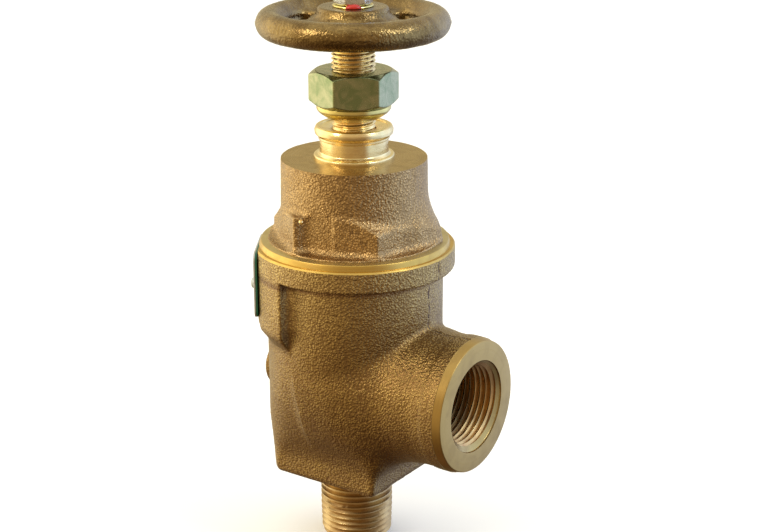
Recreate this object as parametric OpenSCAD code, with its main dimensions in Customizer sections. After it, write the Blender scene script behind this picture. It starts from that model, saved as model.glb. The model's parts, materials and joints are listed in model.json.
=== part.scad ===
// Angle-pattern pressure relief valve: male inlet below, female outlet to the
// side, and a spring whose load is set by a handwheel on a threaded stem.
// Z = 0 is the underside of the body, where the inlet thread meets the wrench
// flats. +Z runs up the stem and +X runs out of the outlet.

/* [Inlet] */
// Outside radius of the male inlet thread, 1/2-14 NPT
inlet_r = 10.67; // [10.5:0.01:10.8]
// Length of the inlet thread below the body
inlet_len = 20.5; // [16:0.5:26]
// Radius of the bore through the inlet
inlet_bore_r = 6.6; // [5.4:0.1:7]

/* [Outlet] */
// Height of the outlet axis above the underside of the body
outlet_z = 31.1; // [30:0.1:32]
// Distance from the stem axis to the outlet face
outlet_face_x = 43; // [41:0.5:48]
// Radius of the outlet thread's crests, 3/4-14 NPT
outlet_thread_r = 11.9; // [11.5:0.1:12.1]
// Outside radius of the outlet collar
collar_r = 20; // [18:0.1:21]

/* [Body] */
// Outside radius of the cast barrel
barrel_r = 26.2; // [25.8:0.1:26.8]
// Outside radius of the flange that carries the bonnet
flange_r = 29.7; // [29:0.1:31]
// Height of the joint between body and bonnet
joint_z = 73.5; // [73:0.1:75]
// Half the distance across the two wrench flats
flat_half = 16.3; // [15:0.1:18]

/* [Bonnet] */
// Outside radius of the bonnet
bonnet_r = 21.4; // [21.2:0.1:22]
// Height of the machined top face of the bonnet
bonnet_top_z = 99.5; // [99.5:0.1:100]
// Radius across the corners of the bonnet hexagon
bonnet_hex_r = 25; // [24.5:0.1:26]
// Angle of one corner of the bonnet hexagon about the stem
bonnet_hex_angle = 21; // [0:1:59]

/* [Adjuster] */
// Radius of the adjusting stem, 1/2-20 UNF
stem_r = 6.35; // [6.2:0.05:6.4]
// Distance across the flats of the lock nut
lock_nut_af = 22.7; // [21:0.1:24]
// Height of the hexagon of the lock nut
lock_nut_h = 10; // [8:0.5:10]
// Outside radius of the handwheel
wheel_r = 27.75; // [27:0.25:32]
// Number of openings in the handwheel
wheel_windows = 5; // [3:1:6]

/* [Spring] */
// Diameter of the spring wire
wire_d = 3.4; // [2.6:0.1:3.8]
// Mean radius of the coils
coil_r = 12.8; // [12.6:0.1:13.2]
// Number of coils, counting both closed ends
coil_count = 6; // [5:0.5:6.5]

/* [Hidden] */
$fn = 96;

// Gaps: radial clearance of a part that slides or turns, and of one fixed in its seat
running = 0.05;
seated = 0.02;
// How far a cutter runs past the surface it opens
over = 1;

// Body castings
inlet_chamfer = 1.2;
base_h = 8.5;
base_r = 24.7;
base_front = 16.8;
base_round = 5.5;
blend_z = 20.5;
barrel_low_r = 25.6;
barrel_full_z = 42;
flange_z = 66.9;
flange_chamfer = 0.7;
neck_r = 18.6;
flare_x = 10;
flare_r = 22.5;
flare_len = 21;
collar_w = 7;
collar_chamfer = 2.6;
face_r = 19.5;
boss_r = 6.8;
boss_out = 27.2;

// Body bores
pocket_z = 6.5;
pocket_r = 9.5;
floor_z = 13.5;
floor_r = 13;
cavity_z = 21.5;
cavity_r = 21;
ledge_z = 45.5;
guide_seat_r = 22.4;
bonnet_thread_z = 64.5;
bonnet_thread_r = 24;
gasket_r = 27;
gasket_h = 0.6;
outlet_thread_in = 23;
outlet_mouth_r = 14.1;
outlet_mouth_x = outlet_face_x - (outlet_mouth_r - outlet_thread_r);
outlet_pass_r = 11;

// Nameplate pad, a sector of the flange carried down the barrel
pad_angle = -148;
pad_spread = 47;
pad_low_z = 46;
pad_full_z = 50.5;
pad_flat = 27.8;
panel_out = 0.6;
panel_half = 8;
panel_h = 20;
plate_t = 0.6;
plate_w = 22;
plate_h = 20;
plate_z = 62.7;
plate_round = 2.5;
plate_back = pad_flat + panel_out;
drive_head_r = 1.7;
drive_head_h = 1.3;
drive_shank_r = 1;
drive_shank_len = 4;
drive_half = 7;

// Seat and disc
seat_z = 20;
seat_lip_r = 8;
seat_flange_r = floor_r - 1;
seat_flange_h = 3;
insert_r = 9.6;
insert_h = 2.6;
retainer_r = 5.2;
retainer_h = 0.8;
holder_r = 11.5;
holder_low_z = seat_z + 0.8;
holder_top_z = 27;
holder_hub_r = 7;
holder_hub_z = 34;
disc_screw_r = 2;
screw_head_r = 3.5;
screw_head_h = 2;
screw_len = 9;
screw_slot = 0.9;
spindle_r = 3.95;
spindle_low_z = 27.5;
spindle_top_z = 70.5;
spindle_step_z = 51;
spindle_step_r = 3.3;
spindle_chamfer = 1;
pin_r = 1;
pin_z = 31;
pin_len = 2 * holder_hub_r - 0.6;
guide_top_z = 48.5;
guide_hub_z = 40;
guide_hub_low_r = 7.5;
guide_hub_top_r = 9;

// Spring and its two buttons
button_r = 16;
button_h = 3.5;
pilot_r = 10.3;
pilot_h = 3;
pilot_taper = 1;
cap_r = 9;
cap_h = 6;
spring_low_z = spindle_step_z + button_h;
spring_high_z = 82.5;
wire_sides = 10;
closed_coils = 0.9;
closed_pitch = 1.01 * wire_d;
steps_per_coil = 24;
nose_r = 2.5;
nose_z = 85.6;
nose_cone_h = stem_r - nose_r;

// Bonnet
bonnet_bore_r = 18.5;
bonnet_ceiling_z = 92;
rim_h = 1.8;
rim_low_r = 28.2;
rim_high_r = 27.7;
shoulder_r = 22.5;
shoulder_h = 0.8;
skirt_step_z = bonnet_thread_z + 0.2;
skirt_chamfer = 1.5;
hex_top_z = 86;
hex_chamfer_z = 82.5;
neck_bonnet_r = 10;
neck_top_z = 109.1;
neck_base_r = 11.8;
neck_base_h = 1.1;
bead_z = 106.6;
bead_h = 2;
bead_r = 11.5;
lip_r = 9.8;
lip_h = 0.5;
neck_bore_r = stem_r + 0.2;
gland_r = 8.55;
gland_z = 105.5;
gland_h = 2.2;
oring_r = 1.05;
oring_mean_r = stem_r + running + oring_r;

// Lock nut and its washer
washer_z = 111.4;
washer_h = 3.9;
washer_r = 10.8;
washer_low_r = 7.6;
washer_bulge = [washer_r - 0.9, washer_z + 1.3];
washer_full_z = washer_z + 2.4;
washer_bore_r = 6.9;
nut_z = washer_z + washer_h;
nut_angle = 39.5;
nut_chamfer = 1.3;

// Handwheel and what holds it
wheel_z = 138.8;
rim_r = 4;
rim_mean_r = wheel_r - rim_r;
web_low_z = 137;
web_top_z = 140;
hub_r = 10;
hub_foot_r = 11.6;
hub_low_z = 133.3;
hub_top_z = 143.4;
hub_chamfer = 1;
hub_flare_h = 1.6;
stem_square = 7.2;
wheel_square = 7.3;
window_in_r = 12.8;
window_out_r = 19;
window_arc = 48;
window_turn = -55;
wheel_washer_r = 5.9;
wheel_washer_h = 0.5;
top_thread_r = 3;
top_thread_chamfer = 0.5;
top_nut_af = 10.1;
top_nut_h = 5;
top_nut_chamfer = 0.7;
top_nut_angle = -17.1;
stem_chamfer = 0.8;
square_drop = 0.3;
stem_top_z = hub_top_z + wheel_washer_h + top_nut_h + 1.6;

// A ring about Z from low_z to high_z; low_z < high_z and inner < outer
module ring(outer, inner, low_z, high_z) {
    translate([0, 0, low_z])
        difference() {
            cylinder(r = outer, h = high_z - low_z);
            translate([0, 0, -over]) cylinder(r = inner, h = high_z - low_z + 2 * over);
        }
}

// A solid of revolution from [radius, height] points
module lathe(points) {
    rotate_extrude() polygon(points);
}

// A hexagonal prism with both ends chamfered, across-flats size af
module chamfered_hex(af, h, chamfer) {
    corner_r = af / 2 / cos(30);
    intersection() {
        cylinder(r = corner_r, h = h, $fn = 6);
        lathe([[0, 0], [corner_r - chamfer, 0], [corner_r, chamfer * tan(30)],
            [corner_r, h - chamfer * tan(30)], [corner_r - chamfer, h], [0, h]]);
    }
}

// Plan of the foot of the body: round behind, flat at both sides and under the outlet
module base_plan() {
    intersection() {
        circle(r = base_r);
        union() {
            translate([-base_r, -flat_half])
                square([base_r + base_front - base_round, 2 * flat_half]);
            translate([-base_r, -flat_half + base_round])
                square([base_r + base_front, 2 * (flat_half - base_round)]);
            for (side = [-1, 1])
                translate([base_front - base_round, side * (flat_half - base_round)])
                    circle(r = base_round);
        }
    }
}

// Sector of the flange radius that runs down the barrel behind the nameplate
module nameplate_pad() {
    reach = 2 * flange_r;
    difference() {
        intersection() {
            lathe([[0, pad_low_z], [barrel_r, pad_low_z], [flange_r, pad_full_z],
                [flange_r, flange_z], [0, flange_z]]);
            translate([0, 0, pad_low_z])
                linear_extrude(flange_z - pad_low_z)
                    polygon([[0, 0],
                        for (side = [-1, 1]) reach * [cos(pad_angle + side * pad_spread),
                            sin(pad_angle + side * pad_spread)]]);
        }
        translate([0, 0, pad_low_z - over]) cylinder(r = cavity_r + over, h = flange_z);
    }
}

// Flat that is cut across the pad and the flange for the nameplate
module pad_flat_cut() {
    rotate([0, 0, pad_angle])
        translate([pad_flat, -flange_r, pad_low_z - over])
            cube([flange_r, 2 * flange_r, joint_z - pad_low_z + 2 * over]);
}

module outlet_arm() {
    translate([0, 0, outlet_z])
        rotate([0, 90, 0]) {
            cylinder(r = neck_r, h = outlet_face_x - collar_w + over);
            translate([0, 0, outlet_face_x - collar_w])
                cylinder(r = collar_r, h = collar_w - collar_chamfer);
            translate([0, 0, outlet_face_x - collar_chamfer])
                cylinder(r1 = collar_r, r2 = face_r, h = collar_chamfer);
            translate([0, 0, flare_x])
                cylinder(r1 = flare_r, r2 = neck_r, h = flare_len);
        }
}

module outlet_bores() {
    translate([0, 0, outlet_z])
        rotate([0, 90, 0]) {
            cylinder(r = outlet_pass_r, h = outlet_face_x);
            translate([0, 0, outlet_thread_in])
                cylinder(r = outlet_thread_r, h = outlet_face_x - outlet_thread_in + over);
            translate([0, 0, outlet_mouth_x])
                cylinder(r1 = outlet_thread_r, r2 = outlet_mouth_r,
                    h = outlet_face_x - outlet_mouth_x);
            translate([0, 0, outlet_face_x - seated])
                cylinder(r = outlet_mouth_r, h = over);
        }
}

// Two holes for the drive screws, in the raised panel of the pad
module drive_screw_places() {
    rotate([0, 0, pad_angle])
        for (side = [-1, 1])
            translate([plate_back, side * drive_half, plate_z])
                rotate([0, 90, 0]) children();
}

module body() {
    color("#a9814a")
        difference() {
            union() {
                lathe([[0, -inlet_len], [inlet_r - inlet_chamfer, -inlet_len],
                    [inlet_r, -inlet_len + inlet_chamfer], [inlet_r, over], [0, over]]);
                linear_extrude(base_h) base_plan();
                hull() {
                    translate([0, 0, base_h - seated]) linear_extrude(seated) base_plan($fn = 32);
                    translate([0, 0, blend_z]) cylinder(r = barrel_low_r, h = seated, $fn = 64);
                }
                translate([0, 0, blend_z])
                    cylinder(r1 = barrel_low_r, r2 = barrel_r, h = barrel_full_z - blend_z);
                translate([0, 0, barrel_full_z])
                    cylinder(r = barrel_r, h = joint_z - barrel_full_z);
                difference() {
                    union() {
                        nameplate_pad();
                        lathe([[0, flange_z], [flange_r, flange_z],
                            [flange_r, joint_z - flange_chamfer],
                            [flange_r - flange_chamfer, joint_z], [0, joint_z]]);
                    }
                    pad_flat_cut();
                }
                rotate([0, 0, pad_angle])
                    translate([pad_flat - over, -panel_half, pad_full_z + over])
                        cube([over + panel_out, 2 * panel_half, panel_h]);
                translate([0, 0, outlet_z])
                    rotate([0, -90, 0]) cylinder(r = boss_r, h = boss_out);
                outlet_arm();
            }
            translate([0, 0, -inlet_len - over])
                cylinder(r = inlet_bore_r, h = inlet_len + pocket_z + 2 * over);
            translate([0, 0, pocket_z])
                cylinder(r = pocket_r, h = floor_z - pocket_z + over);
            lathe([[0, floor_z], [floor_r, floor_z], [cavity_r, cavity_z],
                [cavity_r, ledge_z + over], [0, ledge_z + over]]);
            translate([0, 0, ledge_z])
                cylinder(r = guide_seat_r, h = bonnet_thread_z - ledge_z + over);
            translate([0, 0, bonnet_thread_z])
                cylinder(r = bonnet_thread_r, h = joint_z - bonnet_thread_z + over);
            translate([0, 0, joint_z - gasket_h])
                cylinder(r = gasket_r, h = gasket_h + over);
            outlet_bores();
            drive_screw_places()
                translate([0, 0, -drive_shank_len]) cylinder(r = drive_shank_r, h = 2 * drive_shank_len);
        }
}

// Screwed into the floor of the body; its lip is the valve seat
module seat_nozzle() {
    color("#c9a24f")
        difference() {
            lathe([[0, pocket_z], [pocket_r - seated, pocket_z], [pocket_r - seated, floor_z],
                [seat_flange_r, floor_z], [seat_flange_r, floor_z + seat_flange_h],
                [pocket_r, floor_z + seat_flange_h],
                [seat_lip_r, seat_z], [0, seat_z]]);
            translate([0, 0, pocket_z - over])
                cylinder(r = inlet_bore_r, h = seat_z - pocket_z + 2 * over);
        }
}

// Soft disc that closes on the seat lip
module disc_insert() {
    color("#f0efe8") ring(insert_r, disc_screw_r, seat_z, seat_z + insert_h);
}

module disc_retainer() {
    color("#b9bcc0") ring(retainer_r, disc_screw_r, seat_z - retainer_h, seat_z);
}

module disc_screw() {
    head_z = seat_z - retainer_h - screw_head_h;
    color("#b9bcc0")
        difference() {
            union() {
                translate([0, 0, head_z]) cylinder(r = screw_head_r, h = screw_head_h);
                translate([0, 0, head_z]) cylinder(r = disc_screw_r - seated, h = screw_len);
            }
            translate([-screw_head_r - over, -screw_slot / 2, head_z - over])
                cube([2 * (screw_head_r + over), screw_slot, over + screw_slot]);
        }
}

module disc_holder() {
    color("#b98f4c")
        difference() {
            union() {
                translate([0, 0, holder_low_z])
                    cylinder(r = holder_r, h = holder_top_z - holder_low_z);
                translate([0, 0, holder_top_z - over])
                    cylinder(r = holder_hub_r, h = holder_hub_z - holder_top_z + over);
            }
            translate([0, 0, seat_z - over])
                cylinder(r = insert_r + seated, h = insert_h + over);
            cylinder(r = disc_screw_r, h = holder_top_z - 0.6);
            translate([0, 0, spindle_low_z])
                cylinder(r = spindle_r + seated, h = holder_hub_z);
            translate([0, 0, pin_z])
                rotate([0, 90, 0]) cylinder(r = pin_r, h = 4 * holder_hub_r, center = true);
        }
}

module spindle() {
    color("#c4c7cb")
        difference() {
            lathe([[0, spindle_low_z], [spindle_r, spindle_low_z], [spindle_r, spindle_step_z],
                [spindle_step_r, spindle_step_z],
                [spindle_step_r, spindle_top_z - spindle_chamfer],
                [spindle_step_r - spindle_chamfer, spindle_top_z], [0, spindle_top_z]]);
            translate([0, 0, pin_z])
                rotate([0, 90, 0]) cylinder(r = pin_r, h = 4 * spindle_r, center = true);
        }
}

// Cross pin that ties the spindle to the disc holder
module spindle_pin() {
    color("#9da1a6")
        translate([0, 0, pin_z])
            rotate([0, 90, 0])
                cylinder(r = pin_r - seated, h = pin_len, center = true);
}

// Plate clamped under the bonnet skirt; its bush guides the spindle
module disc_guide() {
    color("#c09750")
        difference() {
            union() {
                translate([0, 0, ledge_z])
                    cylinder(r = guide_seat_r - running, h = guide_top_z - ledge_z);
                translate([0, 0, guide_hub_z])
                    cylinder(r1 = guide_hub_low_r, r2 = guide_hub_top_r, h = ledge_z - guide_hub_z);
            }
            translate([0, 0, guide_hub_z - over])
                cylinder(r = spindle_r + running, h = guide_top_z - guide_hub_z + 2 * over);
        }
}

module lower_spring_button() {
    color("#8f9498")
        difference() {
            lathe([[0, spindle_step_z], [button_r, spindle_step_z], [button_r, spring_low_z],
                [pilot_r, spring_low_z], [pilot_r - pilot_taper, spring_low_z + pilot_h],
                [0, spring_low_z + pilot_h]]);
            translate([0, 0, spindle_step_z - over])
                cylinder(r = spindle_step_r + seated, h = button_h + pilot_h + 2 * over);
        }
}

module upper_spring_button() {
    color("#8f9498")
        difference() {
            lathe([[0, spring_high_z - pilot_h],
                [pilot_r - pilot_taper, spring_high_z - pilot_h],
                [pilot_r, spring_high_z], [button_r, spring_high_z],
                [button_r, spring_high_z + button_h], [cap_r, spring_high_z + cap_h],
                [0, spring_high_z + cap_h]]);
            lathe([[0, nose_z], [nose_r, nose_z], [nose_r + nose_cone_h + over,
                nose_z + nose_cone_h + over], [0, nose_z + nose_cone_h + over]]);
        }
}

// Height of the wire's centre after a turn count t, closed at both ends
function coil_lift(t) =
    let (rise = spring_high_z - spring_low_z - wire_d,
        end_rise = closed_coils * closed_pitch,
        open_pitch = (rise - 2 * end_rise) / (coil_count - 2 * closed_coils))
    t < closed_coils ? t * closed_pitch
    : t > coil_count - closed_coils ? rise - (coil_count - t) * closed_pitch
    : end_rise + (t - closed_coils) * open_pitch;

function wire_ring(t) =
    let (a = 360 * t, mid_z = spring_low_z + wire_d / 2 + coil_lift(t))
    [for (k = [0:wire_sides - 1])
        let (b = 360 * k / wire_sides, r = coil_r + wire_d / 2 * cos(b))
        [r * cos(a), r * sin(a), mid_z + wire_d / 2 * sin(b)]];

module spring() {
    last = round(coil_count * steps_per_coil);
    points = [for (i = [0:last]) each wire_ring(i / steps_per_coil)];
    sides = [for (i = [0:last - 1], k = [0:wire_sides - 1])
        let (next = (k + 1) % wire_sides, row = i * wire_sides)
        [row + k, row + next, row + next + wire_sides, row + k + wire_sides]];
    cap_low = [for (k = [wire_sides - 1:-1:0]) k];
    cap_high = [for (k = [0:wire_sides - 1]) last * wire_sides + k];
    color("#6f757b") polyhedron(points, concat(sides, [cap_low, cap_high]), convexity = 8);
}

module bonnet() {
    color("#b0884e")
        difference() {
            union() {
                lathe([[0, guide_top_z], [guide_seat_r - running, guide_top_z],
                    [guide_seat_r - running, skirt_step_z],
                    [bonnet_thread_r - running, skirt_step_z + skirt_chamfer],
                    [bonnet_thread_r - running, joint_z], [rim_low_r, joint_z],
                    [rim_high_r, joint_z + rim_h],
                    [shoulder_r, joint_z + rim_h + shoulder_h],
                    [bonnet_r, joint_z + rim_h + 2 * shoulder_h], [bonnet_r, bonnet_top_z],
                    [0, bonnet_top_z]]);
                intersection() {
                    rotate([0, 0, bonnet_hex_angle])
                        cylinder(r = bonnet_hex_r, h = hex_top_z, $fn = 6);
                    lathe([[0, joint_z + rim_h], [bonnet_hex_r + over, joint_z + rim_h],
                        [bonnet_hex_r + over, hex_chamfer_z - over], [bonnet_r - over, hex_top_z],
                        [0, hex_top_z]]);
                }
                translate([0, 0, bonnet_top_z - over]) {
                    cylinder(r = neck_base_r, h = neck_base_h + over);
                    cylinder(r = neck_bonnet_r, h = neck_top_z - bonnet_top_z + over);
                }
                lathe([[0, bead_z - over], [neck_bonnet_r, bead_z - over], [bead_r, bead_z],
                    [bead_r, bead_z + bead_h], [bead_r - lip_h, neck_top_z], [0, neck_top_z]]);
            }
            translate([0, 0, guide_top_z - over])
                cylinder(r = bonnet_bore_r, h = bonnet_ceiling_z - guide_top_z + over);
            translate([0, 0, bonnet_ceiling_z - over])
                cylinder(r = stem_r + running, h = neck_top_z - bonnet_ceiling_z + 2 * over);
            translate([0, 0, gland_z]) cylinder(r = gland_r, h = gland_h);
            translate([0, 0, gland_z]) cylinder(r = neck_bore_r, h = neck_top_z - gland_z + over);
            translate([0, 0, neck_top_z - lip_h]) cylinder(r = lip_r, h = lip_h + over);
        }
}

module bonnet_gasket() {
    color("#4c4f4a")
        ring(gasket_r - running, bonnet_thread_r + running, joint_z - gasket_h, joint_z);
}

// Adjusting stem: rounded nose, thread, square for the wheel and a top thread
module stem() {
    color("#cda64f")
        union() {
            lathe([[0, nose_z + seated], [nose_r - seated, nose_z + seated],
                [stem_r, nose_z + seated + nose_cone_h + seated],
                [stem_r, hub_low_z - stem_chamfer], [stem_r - stem_chamfer, hub_low_z],
                [0, hub_low_z]]);
            translate([-stem_square / 2, -stem_square / 2, hub_low_z - over])
                cube([stem_square, stem_square, hub_top_z - hub_low_z + over - square_drop]);
            lathe([[0, hub_top_z - over], [top_thread_r, hub_top_z - over],
                [top_thread_r, stem_top_z - top_thread_chamfer],
                [top_thread_r - top_thread_chamfer, stem_top_z], [0, stem_top_z]]);
        }
}

module stem_oring() {
    color("#1d1e1f")
        translate([0, 0, gland_z + oring_r])
            rotate_extrude() translate([oring_mean_r, 0]) circle(r = oring_r, $fn = 40);
}

// Round-bottomed washer under the lock nut
module lock_washer() {
    color("#c8ad58")
        difference() {
            lathe([[0, washer_z], [washer_low_r, washer_z], washer_bulge,
                [washer_r, washer_full_z], [washer_r, nut_z], [0, nut_z]]);
            translate([0, 0, washer_z - over])
                cylinder(r = washer_bore_r, h = washer_h + 2 * over);
        }
}

module lock_nut() {
    color("#a8a46a")
        difference() {
            translate([0, 0, nut_z])
                rotate([0, 0, nut_angle]) chamfered_hex(lock_nut_af, lock_nut_h, nut_chamfer);
            translate([0, 0, nut_z - over])
                cylinder(r = stem_r + running, h = lock_nut_h + 2 * over);
        }
}

module wheel_window() {
    half = window_arc / 2;
    far = 2 * window_out_r;
    intersection() {
        difference() {
            circle(r = window_out_r);
            circle(r = window_in_r);
        }
        polygon([[0, 0], far * [cos(-half), sin(-half)], far * [cos(half), sin(half)]]);
    }
}

module handwheel() {
    color("#7d6531")
        difference() {
            union() {
                translate([0, 0, wheel_z])
                    rotate_extrude() translate([rim_mean_r, 0]) circle(r = rim_r, $fn = 48);
                translate([0, 0, web_low_z]) cylinder(r = rim_mean_r, h = web_top_z - web_low_z);
                lathe([[0, hub_low_z], [hub_r - hub_chamfer, hub_low_z],
                    [hub_r, hub_low_z + hub_chamfer], [hub_foot_r, web_low_z],
                    [hub_foot_r, web_top_z], [hub_r, web_top_z + hub_flare_h],
                    [hub_r, hub_top_z], [0, hub_top_z]]);
            }
            for (i = [0:wheel_windows - 1])
                rotate([0, 0, 360 * (i + 0.5) / wheel_windows + window_turn])
                    translate([0, 0, web_low_z - over])
                        linear_extrude(web_top_z - web_low_z + 2 * over) wheel_window();
            translate([-wheel_square / 2, -wheel_square / 2, hub_low_z - over])
                cube([wheel_square, wheel_square, hub_top_z - hub_low_z + 2 * over]);
        }
}

// Thin washer under the wheel nut
module wheel_washer() {
    color("#c8a24a")
        ring(wheel_washer_r, top_thread_r + running, hub_top_z, hub_top_z + wheel_washer_h);
}

module wheel_nut() {
    color("#cfd3d2")
        difference() {
            translate([0, 0, hub_top_z + wheel_washer_h])
                rotate([0, 0, top_nut_angle])
                    chamfered_hex(top_nut_af, top_nut_h, top_nut_chamfer);
            translate([0, 0, hub_top_z])
                cylinder(r = top_thread_r + seated, h = top_nut_h + 2 * over);
        }
}

module nameplate() {
    color("#1f5a43")
        difference() {
            rotate([0, 0, pad_angle])
                translate([plate_back, 0, plate_z])
                    rotate([0, 90, 0])
                        linear_extrude(plate_t) rounded_rect(plate_h, plate_w, plate_round);
            drive_screw_places() cylinder(r = drive_shank_r + running, h = 4, center = true);
        }
}

// Rectangle about the origin with round corners
module rounded_rect(w, h, r) {
    square([w - 2 * r, h], center = true);
    square([w, h - 2 * r], center = true);
    for (x = [-1, 1], y = [-1, 1])
        translate([x * (w / 2 - r), y * (h / 2 - r)]) circle(r = r);
}

// Two round-headed drive screws in one group
module drive_screws() {
    dome_r = (drive_head_r * drive_head_r + drive_head_h * drive_head_h) / (2 * drive_head_h);
    color("#c9cbc6")
        drive_screw_places() {
            translate([0, 0, plate_t])
                intersection() {
                    translate([0, 0, drive_head_h - dome_r]) sphere(r = dome_r);
                    cylinder(r = 2 * drive_head_r, h = drive_head_h);
                }
            translate([0, 0, over - drive_shank_len])
                cylinder(r = drive_shank_r - seated, h = drive_shank_len - over + plate_t);
        }
}

body();
seat_nozzle();
disc_insert();
disc_retainer();
disc_screw();
disc_holder();
spindle();
spindle_pin();
disc_guide();
lower_spring_button();
spring();
upper_spring_button();
bonnet();
bonnet_gasket();
stem();
stem_oring();
lock_washer();
lock_nut();
handwheel();
wheel_washer();
wheel_nut();
nameplate();
drive_screws();
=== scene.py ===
"""Looks of the pressure relief valve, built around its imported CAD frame.

Lengths in this script are millimetres in the part's frame; to_object() writes metres.
Castings are made from a distance field with a sand-cast skin, then cut by turned
shapes, so that machined edges stay crisp. Threads are real helices.
"""
import itertools
import json
import math

import bmesh
import bpy
import numpy as np
from mathutils import Matrix, Vector


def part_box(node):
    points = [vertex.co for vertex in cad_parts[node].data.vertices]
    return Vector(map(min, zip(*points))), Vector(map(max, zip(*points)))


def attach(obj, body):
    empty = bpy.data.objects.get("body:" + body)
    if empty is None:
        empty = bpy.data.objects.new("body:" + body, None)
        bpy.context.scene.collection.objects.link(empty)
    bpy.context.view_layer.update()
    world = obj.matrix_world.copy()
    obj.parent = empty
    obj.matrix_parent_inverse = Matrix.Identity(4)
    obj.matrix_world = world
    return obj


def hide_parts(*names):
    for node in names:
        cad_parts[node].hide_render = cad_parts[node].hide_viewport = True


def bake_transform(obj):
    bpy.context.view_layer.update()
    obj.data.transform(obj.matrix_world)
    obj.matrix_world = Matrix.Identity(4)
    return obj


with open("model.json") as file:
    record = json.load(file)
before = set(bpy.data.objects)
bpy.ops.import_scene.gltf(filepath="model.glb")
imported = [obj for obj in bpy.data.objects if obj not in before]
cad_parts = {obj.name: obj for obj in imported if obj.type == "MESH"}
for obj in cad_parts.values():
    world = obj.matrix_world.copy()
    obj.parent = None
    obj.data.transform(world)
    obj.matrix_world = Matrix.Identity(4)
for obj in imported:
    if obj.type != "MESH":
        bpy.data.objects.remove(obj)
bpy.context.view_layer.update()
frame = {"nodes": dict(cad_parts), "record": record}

MM = 0.001
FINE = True


def mm_box(node):
    """Lowest and highest corner of a CAD node, in millimetres."""
    low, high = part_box(node)
    return np.array(low) / MM, np.array(high) / MM


# ---------------------------------------------------------------- places read from the frame

BODY_LOW, BODY_HIGH = mm_box("body")
STEM_LOW, STEM_HIGH = mm_box("stem")
WHEEL_LOW, WHEEL_HIGH = mm_box("handwheel")
NUT_LOW, NUT_HIGH = mm_box("lock_nut")
WASHER_LOW, WASHER_HIGH = mm_box("lock_washer")
DISC_LOW, DISC_HIGH = mm_box("wheel_washer")
TOP_NUT_LOW, TOP_NUT_HIGH = mm_box("wheel_nut")
SPRING_LOW, SPRING_HIGH = mm_box("spring")
PLATE_LOW, PLATE_HIGH = mm_box("nameplate")
O_RING_LOW, O_RING_HIGH = mm_box("stem_oring")

JOINT_Z = BODY_HIGH[2]
FLANGE_LOW_Z = JOINT_Z - 6.6
FACE_X = BODY_HIGH[0]
INLET_Z = BODY_LOW[2]
NECK_TOP_Z = mm_box("bonnet")[1][2]
OUTLET = frame["record"]["mounts"][1]
OUTLET_Z = OUTLET["pos_m"][2] / MM
OUTLET_THREAD_R = OUTLET["dims"]["r_mm"]
INLET_R = frame["record"]["mounts"][0]["dims"]["r_mm"]

# ---------------------------------------------------------------- noise in numpy

CORNERS = list(itertools.product((0, 1), repeat=3))


def hashed(ix, iy, iz, seed):
    """A number from 0 to 1 for each integer cell, the same on every run."""
    with np.errstate(over="ignore"):
        h = ix.astype(np.int64) * 374761393 + iy.astype(np.int64) * 668265263
        h = h + iz.astype(np.int64) * 1274126177 + seed * 974634777
        h = (h ^ (h >> 13)) * 1103515245
        h = (h ^ (h >> 16)) & 0xFFFFFF
    return h.astype(np.float64) / 0xFFFFFF


def value_noise(p, cell, seed):
    """Smooth noise from -1 to 1 with features of about cell millimetres."""
    q = p / cell
    base = np.floor(q).astype(np.int64)
    t = q - base
    t = t * t * t * (t * (t * 6 - 15) + 10)
    total = np.zeros(len(p))
    for corner in CORNERS:
        weight = np.prod(np.where(corner, t, 1 - t), axis=1)
        total += weight * hashed(*(base + corner).T, seed)
    return total * 2 - 1


def pebbles(p, cell, seed):
    """Rounded grains from 0 in the gaps to 1 on their tops, about cell millimetres apart."""
    q = p / cell
    base = np.floor(q).astype(np.int64)
    nearest = np.full(len(p), 9.0)
    for near in itertools.product((-1, 0, 1), repeat=3):
        c = base + near
        centre = c + np.stack([hashed(*c.T, seed + k) for k in (1, 2, 3)], 1)
        nearest = np.minimum(nearest, ((q - centre) ** 2).sum(1))
    return np.exp(-nearest * 3.2)


# ---------------------------------------------------------------- distance field tools


def smooth_union(a, b, k):
    h = np.clip(0.5 + 0.5 * (b - a) / k, 0, 1)
    return b * (1 - h) + a * h - k * h * (1 - h)


def smooth_cut(a, b, k):
    """Intersection of two fields with a rounded edge."""
    return -smooth_union(-a, -b, k)


def slab(value, low, high):
    return np.maximum(low - value, value - high)


def ramp(value, start, end, at_start, at_end):
    t = np.clip((value - start) / (end - start), 0, 1)
    return at_start + (at_end - at_start) * t


CUBE_EDGES = [
    (a, b)
    for a, b in itertools.combinations(range(8), 2)
    if sum(abs(CORNERS[a][n] - CORNERS[b][n]) for n in range(3)) == 1
]


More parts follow.
